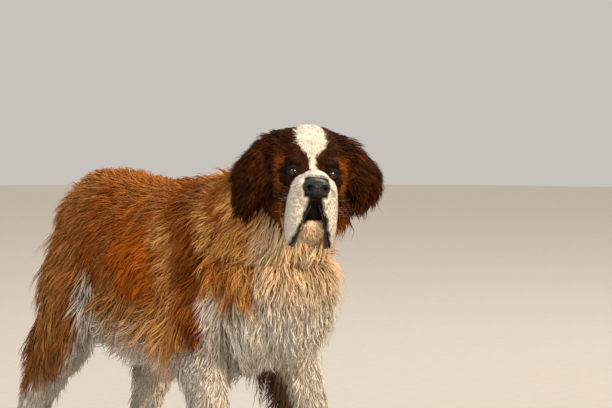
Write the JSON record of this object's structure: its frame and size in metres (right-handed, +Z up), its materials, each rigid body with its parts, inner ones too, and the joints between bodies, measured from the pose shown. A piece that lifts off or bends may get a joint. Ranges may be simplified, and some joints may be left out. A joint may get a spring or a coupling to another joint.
{
  "type": "saint bernard dog, life-size still model",
  "caption": "Long-haired Saint Bernard in mid step, head turned to one side and tail hanging, as a still life-size display model.",
  "frame": {"origin": "middle of the whole model's box in plan, at the floor under the paws", "axes": "+X the way the body heads, +Y the dog's left, +Z up"},
  "size_m": [1.2266, 0.3662, 0.883],
  "materials": {
    "coat_red": "long soft red-brown hair",
    "coat_white": "long soft cream-white hair",
    "coat_dark": "soft dark-brown hair",
    "nose_leather": "moist pebbled skin",
    "lip_skin": "glossy wet skin",
    "eye": "clear wet gloss",
    "claw": "worn horn"
  },
  "bodies": {
    "root": {"torso": "coat_red", "neck": "coat_red", "tail": "coat_red", "head": "coat_dark", "ear_right": "coat_dark", "ear_left": "coat_dark", "lower_jaw": "coat_white", "nose": "nose_leather", "lip_right": "lip_skin", "lip_left": "lip_skin", "eye_right": "eye", "eye_left": "eye", "foreleg_right_upper": "coat_white", "foreleg_right_lower": "coat_white", "foreleg_left_upper": "coat_white", "foreleg_left_lower": "coat_white", "hindleg_right_upper": "coat_red", "hindleg_right_lower": "coat_red", "hindleg_left_upper": "coat_red", "hindleg_left_lower": "coat_red", "forepaw_right": "coat_white", "forepaw_left": "coat_white", "hindpaw_right": "coat_white", "hindpaw_left": "coat_white", "claw_fore_right_1": "claw", "claw_fore_right_2": "claw", "claw_fore_right_3": "claw", "claw_fore_right_4": "claw", "claw_fore_left_1": "claw", "claw_fore_left_2": "claw", "claw_fore_left_3": "claw", "claw_fore_left_4": "claw", "claw_hind_right_1": "claw", "claw_hind_right_2": "claw", "claw_hind_right_3": "claw", "claw_hind_right_4": "claw", "claw_hind_left_1": "claw", "claw_hind_left_2": "claw", "claw_hind_left_3": "claw", "claw_hind_left_4": "claw"}
  },
  "joints": []
}
